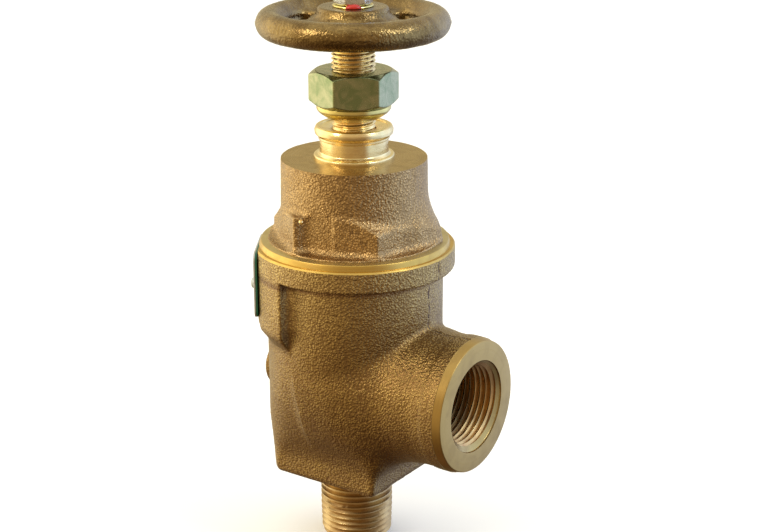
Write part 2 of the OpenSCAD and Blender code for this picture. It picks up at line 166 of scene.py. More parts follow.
def surface_net(field, low, high, step):
    """Vertices and quads of the zero surface of field(x, y, z) in a box."""
    counts = np.ceil((np.array(high) - np.array(low)) / step).astype(int) + 1
    axes = [low[n] + step * np.arange(counts[n]) for n in range(3)]
    f = field(axes[0][:, None, None], axes[1][None, :, None], axes[2][None, None, :])
    f = np.broadcast_to(f, counts)
    inside = f < 0
    cells = np.zeros(counts - 1, np.int8)
    for i, j, k in CORNERS:
        cells += inside[i : counts[0] - 1 + i, j : counts[1] - 1 + j, k : counts[2] - 1 + k]
    active = np.argwhere((cells > 0) & (cells < 8))
    values = np.stack([f[tuple((active + corner).T)] for corner in CORNERS], 1)
    total = np.zeros((len(active), 3))
    hits = np.zeros(len(active))
    for a, b in CUBE_EDGES:
        va, vb = values[:, a], values[:, b]
        crossed = (va < 0) != (vb < 0)
        t = np.where(crossed, va / np.where(crossed, va - vb, 1), 0)
        ca, cb = np.array(CORNERS[a], float), np.array(CORNERS[b], float)
        total += np.where(crossed[:, None], ca + t[:, None] * (cb - ca), 0)
        hits += crossed
    points = np.array(low) + step * (active + total / hits[:, None])
    ids = np.full(counts - 1, -1, np.int64)
    ids[tuple(active.T)] = np.arange(len(active))
    quads = []
    for axis in range(3):
        u, v = (axis + 1) % 3, (axis + 2) % 3
        at = np.argwhere(np.diff(inside, axis=axis))
        at = at[(at[:, u] > 0) & (at[:, v] > 0)]
        at = at[(at[:, u] < counts[u] - 1) & (at[:, v] < counts[v] - 1)]
        ring = []
        for du, dv in ((-1, -1), (0, -1), (0, 0), (-1, 0)):
            c = at.copy()
            c[:, u] += du
            c[:, v] += dv
            ring.append(ids[tuple(c.T)])
        quad = np.stack(ring, 1)
        leaving = inside[tuple(at.T)]
        quad[~leaving] = quad[~leaving][:, ::-1]
        quads.append(quad)
    return points, np.concatenate(quads)


def gradient(field, p, h=0.02):
    return np.stack([field(*(p + d).T) - field(*(p - d).T) for d in h * np.eye(3)], 1) / (2 * h)


def cast(name, field, low, high, step, skin, material):
    """A casting: the field's surface, smoothed onto its zero, then roughened by skin(points)."""
    points, quads = surface_net(field, low, high, step)
    for _ in range(2):
        g = gradient(field, points)
        size = np.maximum((g**2).sum(1), 0.2)
        points = points - g * np.clip(field(*points.T) / size, -step, step)[:, None]
    g = gradient(field, points)
    normals = g / np.maximum(np.linalg.norm(g, axis=1), 1e-6)[:, None]
    return to_object(name, points - normals * skin(points)[:, None], quads, material)


# ---------------------------------------------------------------- meshes


SQUARE = ((-1, -1), (1, -1), (1, 1), (-1, 1))


def linked(name, data):
    obj = bpy.data.objects.new(name, data)
    bpy.context.scene.collection.objects.link(obj)
    return obj


def to_object(name, points, faces, *materials):
    mesh = bpy.data.meshes.new(name)
    faces = faces.tolist() if isinstance(faces, np.ndarray) else faces
    mesh.from_pydata((np.asarray(points) * MM).tolist(), [], faces)
    mesh.validate()
    for m in materials:
        mesh.materials.append(m)
    return linked(name, mesh)


def soft(corners, steps=4):
    """A polyline with rounded corners: each corner is (r, z) or (r, z, radius)."""
    out = []
    for i, c in enumerate(corners):
        p = np.array(c[:2], float)
        radius = c[2] if len(c) > 2 else 0
        if not radius or i in (0, len(corners) - 1):
            out.append(p)
            continue
        a, b = (np.array(corners[n][:2], float) - p for n in (i - 1, i + 1))
        la, lb = np.linalg.norm(a), np.linalg.norm(b)
        a, b = a / la, b / lb
        half = math.acos(float(np.clip(a @ b, -1, 1))) / 2
        trim = min(radius / max(math.tan(half), 1e-6), 0.49 * la, 0.49 * lb)
        radius = trim * math.tan(half)
        bisector = (a + b) / np.linalg.norm(a + b)
        centre = p + bisector * radius / math.sin(half)
        start, end = p + a * trim - centre, p + b * trim - centre
        turn = math.atan2(start[0] * end[1] - start[1] * end[0], start @ end)
        for s in range(steps + 1):
            w = turn * s / steps
            spin = np.array([[math.cos(w), -math.sin(w)], [math.sin(w), math.cos(w)]])
            out.append(centre + spin @ start)
    return [tuple(q) for q in out]


def revolve(profile, segments=160):
    """A closed solid of revolution. The profile runs from axis to axis, or closes on itself."""
    angles = np.linspace(0, 2 * math.pi, segments, endpoint=False)
    points, rows = [], []
    for r, z in profile:
        if r < 1e-6:
            rows.append([len(points)])
            points.append((0.0, 0.0, z))
            continue
        rows.append(list(range(len(points), len(points) + segments)))
        points += [(r * math.cos(a), r * math.sin(a), z) for a in angles]
    closed = [] if len(rows[0]) == len(rows[-1]) == 1 else rows[:1]
    faces = []
    for low, high in zip(rows, rows[1:] + closed):
        if len(low) == len(high) == 1:
            continue
        for s in range(segments):
            t = (s + 1) % segments
            quad = (low[s % len(low)], low[t % len(low)], high[t % len(high)], high[s % len(high)])
            faces.append(tuple(dict.fromkeys(quad)))
    return np.array(points), faces


def outward(obj):
    """Makes every face point out of the closed solid."""
    bm = bmesh.new()
    bm.from_mesh(obj.data)
    bmesh.ops.recalc_face_normals(bm, faces=bm.faces)
    bm.to_mesh(obj.data)
    bm.free()
    return obj


def turned(name, profile, material, segments=160):
    points, faces = revolve(profile, segments)
    return outward(to_object(name, points, faces, material))


def rod(r, low, high):
    """The profile of a plain cylinder."""
    return [(0, low), (r, low), (r, high), (0, high)]


def lofted(name, rings, *materials):
    """A closed solid through rings that have equally many points, capped at both ends."""
    count, last = len(rings[0]), len(rings) - 1
    faces = []
    for n in range(last):
        low, high = n * count, (n + 1) * count
        for k in range(count):
            t = (k + 1) % count
            faces.append((low + k, low + t, high + t, high + k))
    faces += [tuple(range(count))[::-1], tuple(range(last * count, (last + 1) * count))]
    return outward(to_object(name, np.concatenate(rings), faces, *materials))


def square_bar(name, half, low, high, material):
    return lofted(name, [[(x * half, y * half, z) for x, y in SQUARE] for z in (low, high)], material)


def placed(obj, matrix):
    obj.data.transform(matrix)
    return obj


def along_x(z):
    """Puts a shape made about Z onto the axis that runs along +X at height z."""
    return Matrix.Translation((0, 0, z * MM)) @ Matrix.Rotation(math.pi / 2, 4, "Y")


def combine(obj, other, operation):
    """Boolean of two closed solids; faces keep their own materials."""
    tool = obj.modifiers.new("combine", "BOOLEAN")
    tool.operation = operation
    tool.solver = "MANIFOLD"
    tool.material_mode = "TRANSFER"
    tool.object = other
    bpy.context.view_layer.update()
    depsgraph = bpy.context.evaluated_depsgraph_get()
    mesh = bpy.data.meshes.new_from_object(obj.evaluated_get(depsgraph))
    old = obj.data
    obj.modifiers.clear()
    obj.data = mesh
    mesh.name = obj.name
    bpy.data.meshes.remove(old)
    old = other.data
    bpy.data.objects.remove(other)
    bpy.data.meshes.remove(old)
    return obj


def cut(obj, tool):
    return combine(obj, tool, "DIFFERENCE")


def join(obj, other):
    return combine(obj, other, "UNION")


def smooth(obj, sharp, cast_sharp=None):
    """Smooth shading, broken where two materials meet and at edges sharper than the limits.

    The limit for the first material, the cast skin, may be another one.
    """
    bm = bmesh.new()
    bm.from_mesh(obj.data)
    for edge in bm.edges:
        sides = edge.link_faces
        if len(sides) != 2:
            continue
        limit = cast_sharp if cast_sharp and sides[0].material_index == 0 else sharp
        same = sides[0].material_index == sides[1].material_index
        edge.smooth = same and edge.calc_face_angle(0) < math.radians(limit)
    for face in bm.faces:
        face.smooth = True
    bm.to_mesh(obj.data)
    bm.free()
    return obj


def stands_for(obj, node, body, sharp=34, cast_sharp=None):
    """Smooths obj and makes it the look of a CAD node, on its body and with its finish."""
    smooth(obj, sharp, cast_sharp)
    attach(obj, body)
    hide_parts(node)


def thread_solid(name, crest_r, depth, pitch, low, high, material, taper=0.0, segments=120):
    """A closed right-handed screw about Z, a pitch too long at both ends, to be trimmed.

    Threads of one pitch are in phase wherever they start, so a nut fits its stem.
    """
    shape = [(0.0, 1.0), (0.07, 1.0), (0.12, 0.94), (0.44, 0.06), (0.50, 0.0), (0.56, 0.0),
             (0.62, 0.06), (0.94, 0.94)]
    m = len(shape)
    start = pitch * (math.floor(low / pitch) - 1)
    turns = int(math.ceil((high - start) / pitch)) + 1
    rows = turns * m
    i = np.arange(segments)[:, None]
    j = np.arange(rows + 1)[None, :]
    fraction = np.array([s[0] for s in shape])[j % m] + j // m
    drop = np.array([s[1] for s in shape])[j % m]
    z = start + pitch * (fraction + i / segments)
    r = crest_r + taper * (z - low) - depth * drop
    a = 2 * math.pi * i / segments + np.zeros_like(z)
    points = np.stack([r * np.cos(a), r * np.sin(a), z], -1).reshape(-1, 3)

    def at(column, row):
        return column * (rows + 1) + row

    last = segments - 1
    faces = [(at(c, k), at(c + 1, k), at(c + 1, k + 1), at(c, k + 1))
             for c in range(last) for k in range(rows)]
    faces += [(at(last, k), at(0, k + m), at(0, k + m + 1), at(last, k + 1)) for k in range(rows - m)]
    bottom = [at(c, 0) for c in range(segments)] + [at(0, k) for k in range(m, 0, -1)]
    top = [at(c, rows) for c in range(segments)]
    top += [at(last, k) for k in range(rows - 1, rows - m - 1, -1)]
    centre = len(points)
    ends = [[0, 0, start + pitch / 2], [0, 0, start + pitch * (turns + 0.5)]]
    for loop, tip in ((bottom, centre), (top, centre + 1)):
        faces += [(loop[(n + 1) % len(loop)], v, tip) for n, v in enumerate(loop)]
    return outward(to_object(name, np.vstack([points, ends]), faces, material))


def trimmed(name, crest_r, depth, pitch, profile, material, taper=0.0):
    """A thread cut to the outline of a turned profile, so its ends are chamfered."""
    heights = [z for _, z in profile]
    screw = thread_solid(name, crest_r, depth, pitch, min(heights), max(heights), material, taper)
    return combine(screw, turned(name + "_blank", profile, material), "INTERSECT")


# ---------------------------------------------------------------- materials


class Graph:
    """The node graph of a material or of the world, built by small calls."""

    def __init__(self, owner):
        owner.use_nodes = True
        self.tree = owner.node_tree
        self.tree.nodes.clear()

    def node(self, kind, *values, **settings):
        """A node. Values go to its inputs in order, settings to its inputs or properties by name."""
        made = self.tree.nodes.new(kind)
        for socket, value in zip(made.inputs, values):
            self.feed(socket, value)
        for key, value in settings.items():
            if key in made.inputs:
                self.feed(made.inputs[key], value)
            else:
                setattr(made, key, value)
        return made

    def feed(self, socket, value):
        if isinstance(value, bpy.types.NodeSocket):
            self.tree.links.new(value, socket)
        elif socket.type == "RGBA" and len(value) == 3:
            socket.default_value = (*value, 1)
        elif value is not None:
            socket.default_value = value

    def maths(self, operation, *values):
        return self.node("ShaderNodeMath", *values, operation=operation).outputs[0]

    def vector(self, operation, a, b, output=0):
        return self.node("ShaderNodeVectorMath", a, b, operation=operation).outputs[output]

    def blend(self, fac, a, b, how="MIX"):
        made = self.node("ShaderNodeMix", fac, data_type="RGBA", blend_type=how)
        self.feed(made.inputs[6], a)
        self.feed(made.inputs[7], b)
        return made.outputs[2]

    def ramp(self, value, stops):
        """Colours by value: each stop is (place, colour)."""
        made = self.node("ShaderNodeValToRGB", value)
        made.color_ramp.interpolation = "EASE"
        elements = made.color_ramp.elements
        while len(elements) < len(stops):
            elements.new(0.5)
        for element, (place, colour) in zip(elements, stops):
            element.position = place
            element.color = (*colour, 1)
        return made.outputs[0]


class Look(Graph):
    """A material about its Principled shader. Lengths in it are millimetres."""

    def __init__(self, name):
        self.material = bpy.data.materials.new(name)
        super().__init__(self.material)
        self.shader = self.node("ShaderNodeBsdfPrincipled")
        self.node("ShaderNodeOutputMaterial", self.shader.outputs[0])
        self.mm = self.vector("MULTIPLY", self.node("ShaderNodeTexCoord").outputs["Object"], (1000,) * 3)

    def noise(self, cell, detail=3.0, at=None, distortion=0.0):
        made = self.node("ShaderNodeTexNoise", at or self.mm, Scale=1 / cell, Detail=detail,
                         Distortion=distortion)
        return made.outputs["Fac"]

    def grains(self, cell):
        made = self.node("ShaderNodeTexVoronoi", self.mm, feature="SMOOTH_F1", Scale=1 / cell,
                         Smoothness=0.35)
        return made.outputs["Distance"]

    def fade(self, value, low, high, at_low=0.0, at_high=1.0):
        return self.node("ShaderNodeMapRange", value, low, high, at_low, at_high).outputs[0]

    def place(self, axis):
        """The point's x, y or z."""
        return self.node("ShaderNodeSeparateXYZ", self.mm).outputs[axis]

    def hollows(self, low, high):
        """1 in the hollows of the mesh and 0 on its ridges."""
        point = self.node("ShaderNodeNewGeometry").outputs["Pointiness"]
        return self.fade(point, low, high, 1.0, 0.0)

    def bump(self, height, depth, after=None):
        return self.node("ShaderNodeBump", Distance=depth * MM, Height=height, Normal=after).outputs[0]

    def around(self, axis, height=0.0):
        """The point as (radius, distance along) about an axis, for marks left by turning."""
        off_axis = self.vector("SUBTRACT", self.mm, (0, 0, height))
        parts = list(self.node("ShaderNodeSeparateXYZ", off_axis).outputs)
        along = parts.pop(axis)
        square = self.maths("ADD", *(self.maths("MULTIPLY", part, part) for part in parts))
        return self.node("ShaderNodeCombineXYZ", self.maths("SQRT", square), along).outputs[0]

    def done(self, colour, metallic, roughness, normal=None, **others):
        given = {"Base Color": colour, "Metallic": metallic, "Roughness": roughness, "Normal": normal}
        for key, value in (given | others).items():
            self.feed(self.shader.inputs[key], value)
        return self.material


def mould_seam(m):
    """1 along the broken dark line that the mould's joint left at y = 0."""
    wander = m.fade(m.noise(5.0, 3), 0.3, 0.7, -0.6, 0.6)
    off = m.maths("ABSOLUTE", m.maths("ADD", m.place(1), wander))
    broken = m.fade(m.noise(2.0, 2), 0.44, 0.50)
    line = m.maths("MULTIPLY", m.fade(off, 0.12, 0.42, 1.0, 0.0), broken)
    return m.maths("MULTIPLY", line, m.fade(m.place(2), 36, 44))


def sand_cast(name, bright, dull, dark, grain=0.6, rough=0.33, relief=1.0, foot_z=0.0):
    """Bronze as cast in sand: pebbled, dull in its hollows and rubbed bright on its tops.

    Below foot_z the colour is darkened towards the bottom as painted shade, where the lower body gets less
    light, and a dark band just under the flange is painted shade.
    """
    m = Look(name)
    pebble = m.grains(grain)
    fine = m.noise(0.3, 2)
    hollow = m.hollows(0.44, 0.495)
    patches = m.fade(m.noise(8.0, 4, distortion=0.6), 0.35, 0.65)
    pits = m.fade(m.noise(1.5, 2), 0.27, 0.34, 0.6, 0.0)
    skin = m.blend(patches, bright, dull)
    if foot_z:
        # Painted shade: the colour is darkened towards the bottom, where the lower body gets less light.
        low_shade = m.fade(m.place(2), foot_z - 26, foot_z, 1.0, 0.0)
        skin = m.blend(low_shade, skin, (0.57, 0.525, 0.445), "MULTIPLY")
        # Painted shade: a dark band just under the flange, where the flange shades the barrel.
        corner = m.maths("ABSOLUTE", m.maths("ADD", m.place(2), 1.0 - FLANGE_LOW_Z))
        skin = m.blend(m.fade(corner, 0.4, 1.5, 0.6, 0.0), skin, dark)
        skin = m.blend(mould_seam(m), skin, (0.03, 0.015, 0.01))
    skin = m.blend(m.fade(pebble, 0.22, 0.50, 0.0, 0.55 * relief), skin, dark)
    skin = m.blend(m.maths("MULTIPLY", hollow, 0.5 * relief), skin, dark)
    skin = m.blend(pits, skin, dark)
    shine = m.fade(patches, 0, 1, rough - 0.05, rough + 0.05)
    shine = m.maths("ADD", shine, m.fade(fine, 0.3, 0.7, -0.08, 0.08))
    shine = m.maths("ADD", shine, m.maths("MULTIPLY", hollow, 0.15))
    normal = m.bump(m.maths("SUBTRACT", 1.0, pebble), 0.19 * relief)
    return m.done(skin, 0.96, shine, m.bump(fine, 0.10 * relief, normal))


def turned_metal(name, colour, stain, rough, axis=2, height=0.0, stained=0.6):
    """Metal off the lathe: fine rings about its axis, faint stains and a little wear."""
    m = Look(name)
    rings = m.noise(0.22, 2, at=m.around(axis, height))
    blotches = m.fade(m.noise(5.0, 4, distortion=0.8), 0.42, 0.70)
    specks = m.fade(m.noise(0.9, 2), 0.68, 0.76)
    skin = m.blend(m.maths("MULTIPLY", blotches, stained), colour, stain)
    skin = m.blend(m.maths("MULTIPLY", specks, stained), skin, stain)
    shine = m.fade(rings, 0.3, 0.7, rough - 0.04, rough + 0.06)
    shine = m.maths("ADD", shine, m.maths("MULTIPLY", blotches, 0.15 * stained))
    return m.done(skin, 1.0, shine, m.bump(rings, 0.012))


def plated_steel(name, colour, tint, rough, metallic=0.95):
    """Plating with a faint change of tint from place to place and fine scratches."""
    m = Look(name)
    patches = m.fade(m.noise(4.0, 3, distortion=1.0), 0.35, 0.65)
    grit = m.noise(0.25, 3)
    scratches = m.noise(0.5, 3, at=m.vector("MULTIPLY", m.mm, (0.3, 0.3, 3.0)))
    skin = m.blend(patches, colour, tint)
    shine = m.fade(grit, 0.3, 0.7, rough - 0.06, rough + 0.08)
    shine = m.maths("ADD", shine, m.fade(scratches, 0.3, 0.7, -0.03, 0.03))
    return m.done(skin, metallic, shine, m.bump(m.maths("ADD", grit, scratches), 0.012))


def enamel(name, colour, worn):
    """Gloss paint on thin metal, slightly uneven, with small worn spots."""
    m = Look(name)
    orange_peel = m.noise(0.7, 2)
    chips = m.fade(m.noise(1.3, 4), 0.70, 0.73)
    skin = m.blend(m.fade(m.noise(3.0, 2), 0.3, 0.7, 0.0, 0.25), colour, (0.02, 0.02, 0.02))
    skin = m.blend(chips, skin, worn)
    return m.done(skin, m.maths("MULTIPLY", chips, 0.8), m.fade(orange_peel, 0.3, 0.7, 0.26, 0.40),
                  m.bump(orange_peel, 0.01))


def soft_stuff(name, colour, other, cell, rough, depth):
    """Rubber, fibre sheet or PTFE: matte, with a fine mottle at its own scale."""
    m = Look(name)
    mottle = m.noise(cell, 4)
    skin = m.blend(m.fade(mottle, 0.35, 0.65), colour, other)
    return m.done(skin, 0.0, m.fade(mottle, 0.3, 0.7, rough - 0.06, rough + 0.06), m.bump(mottle, depth))


def drawn_wire(name):
    """Spring wire: satin, with die lines and a thin oily darkening."""
    m = Look(name)
    lines = m.noise(0.3, 3, at=m.around(2))
    film = m.fade(m.noise(3.0, 3), 0.4, 0.65)
    skin = m.blend(film, (0.42, 0.43, 0.45), (0.20, 0.20, 0.21))
    return m.done(skin, 1.0, m.fade(lines, 0.3, 0.7, 0.28, 0.42), m.bump(lines, 0.02))


CAST = sand_cast("sand_cast_bronze", (0.63, 0.42, 0.18), (0.52, 0.34, 0.14), (0.13, 0.07, 0.03))
# The body's sand-cast bronze, with painted shade towards the bottom and under the flange.
BODY_CAST = sand_cast("bronze_with_painted_shade", (0.63, 0.46, 0.175), (0.52, 0.37, 0.142),
                      (0.12, 0.052, 0.026), foot_z=70)
CAST_INSIDE = sand_cast("cast_inside", (0.26, 0.14, 0.06), (0.20, 0.10, 0.045),
                        (0.06, 0.03, 0.015), 1.2, 0.45)
WHEEL_CAST = sand_cast("wheel_bronze", (0.34, 0.235, 0.088), (0.17, 0.108, 0.036),
                       (0.06, 0.03, 0.016), 0.7, 0.23, 0.5)
BRASS_Z = turned_metal("turned_brass", (0.92, 0.72, 0.34), (0.66, 0.46, 0.18), 0.18)
NECK_BRONZE = turned_metal("neck_bronze", (0.84, 0.69, 0.35), (0.72, 0.50, 0.22), 0.17)
RIM_BRONZE = turned_metal("rim_bronze", (0.58, 0.39, 0.10), (0.44, 0.28, 0.085), 0.29)
SHOULDER = turned_metal("shoulder_bronze", (0.52, 0.42, 0.19), (0.40, 0.31, 0.13), 0.38)
TOP_FACE = turned_metal("faced_bronze", (0.39, 0.25, 0.052), (0.30, 0.19, 0.05), 0.24)
OUTLET_FACE = turned_metal("outlet_face", (0.41, 0.27, 0.085), (0.30, 0.195, 0.07), 0.33, 0, OUTLET_Z, 0.4)
OUTLET_THREAD = turned_metal("outlet_thread", (0.66, 0.45, 0.19), (0.40, 0.20, 0.085), 0.26, 0, OUTLET_Z)
OUTLET_MOUTH = turned_metal("outlet_mouth", (0.42, 0.30, 0.11), (0.30, 0.20, 0.08), 0.24, 0, OUTLET_Z)
THREAD_BRASS = turned_metal("thread_brass", (0.90, 0.71, 0.34), (0.66, 0.44, 0.17), 0.20)
INLET_BRASS = turned_metal("inlet_brass", (0.48, 0.34, 0.16), (0.34, 0.20, 0.085), 0.27)
WASHER_GOLD = turned_metal("washer_gold", (0.66, 0.55, 0.20), (0.52, 0.41, 0.14), 0.20)
CHROMATE = plated_steel("zinc_chromate", (0.34, 0.335, 0.185), (0.20, 0.24, 0.11), 0.20)
ZINC = plated_steel("bright_zinc", (0.78, 0.79, 0.77), (0.66, 0.68, 0.67), 0.22)
ALUMINIUM = plated_steel("bare_aluminium", (0.56, 0.60, 0.62), (0.44, 0.48, 0.50), 0.45, 0.5)
STAINLESS = turned_metal("turned_stainless", (0.70, 0.70, 0.69), (0.56, 0.56, 0.55), 0.24)
PLAIN_STEEL = turned_metal("plain_steel", (0.48, 0.48, 0.48), (0.34, 0.33, 0.32), 0.36)
SPRING_WIRE = drawn_wire("spring_wire")
RED_LACQUER = enamel("red_lacquer", (0.62, 0.030, 0.018), (0.45, 0.02, 0.015))
GREEN_ENAMEL = enamel("green_enamel", (0.012, 0.14, 0.085), (0.30, 0.32, 0.28))
RUBBER = soft_stuff("nitrile_rubber", (0.020, 0.020, 0.021), (0.035, 0.034, 0.033), 0.5, 0.5, 0.01)
FIBRE = soft_stuff("gasket_fibre", (0.09, 0.10, 0.09), (0.16, 0.16, 0.14), 0.4, 0.8, 0.04)
PTFE = soft_stuff("filled_ptfe", (0.78, 0.77, 0.72), (0.70, 0.69, 0.64), 0.8, 0.5, 0.01)

# ---------------------------------------------------------------- the body

BORE_R = 6.6
SEAT_POCKET_R = 9.5
PASSAGE_R = 11.0
CHAMBER_R = 21.0
GUIDE_SEAT_R = 24.0
FLANGE_R = BODY_HIGH[1]
BARREL_R = FLANGE_R - 3.5
FOOT_R = BARREL_R - 1.5
BARREL_FULL_Z = 19.0
FLAT_HALF = 16.3
FLAT_TOP_Z = 8.5
FRONT_X = 17.5
PAD_HALF_ANGLE = math.radians(47)
PAD_FLAT = 27.8
PANEL_OUT = 0.6
COLLAR_R = 20.0
COLLAR_BACK_X = FACE_X - 7.0
BAND_X = FACE_X - 2.6
NECK_R = 19.9
BOSS_R = 7.6
BOSS_Z = OUTLET_Z - 1.5
BOSS_OUT = 29.2
NPT_PITCH = 1.814
NPT_DEPTH = 1.35
NPT_TAPER = 1 / 32
STEM_PITCH = 1.27
STEM_DEPTH = 0.62
SQUARE_HALF = 3.6

plate_middle = (PLATE_LOW + PLATE_HIGH) / 2
PAD_ANGLE = math.atan2(plate_middle[1], plate_middle[0])


def on_pad(x, y):
    """A point as (out from the axis, sideways) in the direction the nameplate faces."""
    c, s = math.cos(PAD_ANGLE), math.sin(PAD_ANGLE)
    return x * c + y * s, y * c - x * s


def parting_seam(p, depth=0.35):
    """Where the two halves of the mould met at y = 0: a thin, broken crevice on a low ridge."""
    off = p[:, 1] - 0.3 * value_noise(p * [0, 0, 1], 6.0, 71)
    broken = np.clip(0.55 + 0.9 * value_noise(p, 2.2, 72), 0, 1)
    return depth * broken * np.exp(-((off / 0.32) ** 2)) - 0.12 * np.exp(-((off / 1.1) ** 2))


def sand_skin(p, depth=0.10, cell=0.85):
    """How far a cast surface lies below its nominal form."""
    lumps = 0.5 + 0.5 * value_noise(p, 4.0, 23)
    return depth * (1 - pebbles(p, cell, 11)) * (0.7 + 0.5 * lumps) + 0.06 * lumps


def pad_field(r, x, y, z):
    """The sector of flange radius that runs down the barrel behind the nameplate."""
    out, side = on_pad(x, y)
    sector = np.abs(side) * math.cos(PAD_HALF_ANGLE) - out * math.sin(PAD_HALF_ANGLE)
    pad = smooth_cut(r - FLANGE_R, sector, 0.9)
    return smooth_cut(pad, 0.61 * (45.4 + 1.29 * (r - BARREL_R) - z), 1.0)


def pad_flat(x, y, z):
    """The flat across pad and flange, with a slightly raised panel under the nameplate."""
    out, side = on_pad(x, y)
    panel = np.maximum(slab(z, PLATE_LOW[2] - 1.2, PLATE_HIGH[2] - 1.2), np.abs(side) - 10.3)
    return out - PAD_FLAT - PANEL_OUT * np.clip(0.5 - panel, 0, 1)


def outlet_field(x, y, z):
    rho = np.hypot(y, z - OUTLET_Z)
    neck = np.maximum(rho - ramp(x, 8, 32, 22.8, NECK_R), slab(x, 0, FACE_X + 0.8))
    collar = smooth_cut(rho - COLLAR_R - 0.1, slab(x, COLLAR_BACK_X, FACE_X + 0.8), 0.9)
    return smooth_union(neck, collar, 0.8)


def body_field(x, y, z):
    """The body casting before machining."""
    r = np.hypot(x, y)
    above = z - FLAT_TOP_Z
    spread = 0.5 * (above + np.sqrt(above**2 + 6))
    barrel = r - ramp(z, 2.0, BARREL_FULL_Z, FOOT_R, BARREL_R)
    corner = ramp(z, 4, 18, 0.9, 5.5)
    form = smooth_cut(barrel, (np.abs(y) - FLAT_HALF - 0.5 * spread + 0.2) / 1.1, corner)
    form = smooth_cut(form, (x - FRONT_X - 1.6 * spread + 0.3) / 1.6, corner)
    form = smooth_cut(form, -z, 2.8)
    flange = smooth_cut(r - FLANGE_R, FLANGE_LOW_Z - z, 1.0)
    raised = smooth_union(flange, pad_field(r, x, y, z), 0.3)
    fillet = np.minimum(ramp(z, 49, 53, 0.8, 3.4), ramp(z, 62, 66, 3.4, 1.1))
    form = smooth_cut(smooth_union(form, raised, fillet), pad_flat(x, y, z), 0.8)
    boss = smooth_cut(np.hypot(y, z - BOSS_Z) - BOSS_R, -x - BOSS_OUT, 0.6)
    form = smooth_union(form, np.maximum(boss, x), 0.8)
    blend = np.minimum(ramp(z, 6, 19, 1.2, 6.5), ramp(z, 36, 48, 6.5, 1.8))
    form = smooth_union(form, outlet_field(x, y, z), blend)
    return np.maximum(form, z - JOINT_Z - 0.8)


def inlet_nipple():
    end = INLET_Z
    profile = [(0, end), (INLET_R - 1.5, end), (INLET_R + 0.3, end + 1.8), (INLET_R + 0.3, 1.0), (0, 1.0)]
    return trimmed("inlet_nipple", INLET_R, NPT_DEPTH, NPT_PITCH, profile, INLET_BRASS, NPT_TAPER)


def body_cutters():
    """The turned shapes that machining takes away from the body casting."""
    beyond = FLANGE_R + 4
    lid = [(0, JOINT_Z), (FLANGE_R - 0.5, JOINT_Z), (beyond, JOINT_Z - 4.9), (beyond, JOINT_Z + 5),
           (0, JOINT_Z + 5)]
    yield turned("lid", lid, RIM_BRONZE, 240)
    wide = COLLAR_R + 4
    face = soft([(0, FACE_X), (COLLAR_R - 0.5, FACE_X, 0.35), (COLLAR_R, BAND_X, 0.1), (wide, BAND_X - 0.1),
                 (wide, FACE_X + 4), (0, FACE_X + 4)])
    yield placed(turned("face", face, OUTLET_FACE, 240), along_x(OUTLET_Z))
    bore = [(0, INLET_Z - 1), (BORE_R + 0.8, INLET_Z - 1), (BORE_R, INLET_Z + 0.6), (BORE_R, 10), (0, 10)]
    yield turned("inlet_bore", bore, BRASS_Z, 96)
    tapped_r, recess_r = CHAMBER_R + 1.4, GUIDE_SEAT_R + 3
    chamber = [(0, 6.5), (SEAT_POCKET_R, 6.5), (SEAT_POCKET_R, 13.5), (13, 13.5), (CHAMBER_R, 21.5),
               (CHAMBER_R, 45.5), (tapped_r, 45.5), (tapped_r, 64.5), (GUIDE_SEAT_R, 64.5),
               (GUIDE_SEAT_R, JOINT_Z - 0.6), (recess_r, JOINT_Z - 0.6), (recess_r, JOINT_Z + 2),
               (0, JOINT_Z + 2)]
    yield turned("chamber", chamber, CAST_INSIDE)
    passage = [(0, 1), (PASSAGE_R, 1), (PASSAGE_R, FACE_X - 19), (OUTLET_THREAD_R - 0.15, FACE_X - 18),
               (0, FACE_X - 18)]
    yield placed(turned("passage", passage, CAST_INSIDE, 96), along_x(OUTLET_Z))


def outlet_cutter():
    """The female pipe thread and its chamfered, slightly recessed mouth."""
    deep = FACE_X - 20
    mouth = OUTLET_THREAD_R + 2.2
    root = OUTLET_THREAD_R + NPT_DEPTH
    outline = rod(root, deep, FACE_X + 1)
    screw = trimmed("outlet_screw", root - 0.25, NPT_DEPTH, NPT_PITCH, outline, OUTLET_THREAD, 0.012)
    funnel = soft([(0, deep + 0.1), (OUTLET_THREAD_R - 0.1, deep + 0.1), (OUTLET_THREAD_R, FACE_X - 1.7),
                   (mouth - 0.4, FACE_X - 0.5, 0.3), (mouth - 0.1, FACE_X + 1), (0, FACE_X + 1)])
    join(screw, turned("funnel", funnel, OUTLET_MOUTH, 120))
    return placed(screw, along_x(OUTLET_Z))


def build_body():
    body = cast("body_cast", body_field, (-31, -31, -1.5), (FACE_X + 2, 31, JOINT_Z + 2),
                0.45 if FINE else 0.7, lambda p: sand_skin(p) + parting_seam(p), BODY_CAST)
    cutters = list(body_cutters())
    for cutter in cutters[:2]:
        cut(body, cutter)
    join(body, inlet_nipple())
    for cutter in cutters[2:]:
        cut(body, cutter)
    cut(body, outlet_cutter())
    stands_for(body, "body", "valve_body", cast_sharp=75)


# ---------------------------------------------------------------- the bonnet

BONNET_R = 21.4
HEX_CORNER_R = 25.0
HEX_CORNER_DEG = 21.0
CROWN_ANGLE = math.radians(277)
LUG_DEG = HEX_CORNER_DEG + 240
SHOULDER_R = 25.3
TOP_FACE_Z = NECK_TOP_Z - 9.6
RIM_TOP_Z = JOINT_Z + 1.6
BONNET_NECK_R = 10.0
STEM_R = 6.35


def hexagon(x, y, across_flats, corner_deg, k):
    """Distance outside a hexagon with rounded edges that has a corner at corner_deg."""
    sides = []
    for n in range(3):
        a = math.radians(corner_deg + 30 + 60 * n)
        sides.append(np.abs(x * math.cos(a) + y * math.sin(a)) - across_flats / 2)
    return smooth_cut(smooth_cut(sides[0], sides[1], k), sides[2], k)


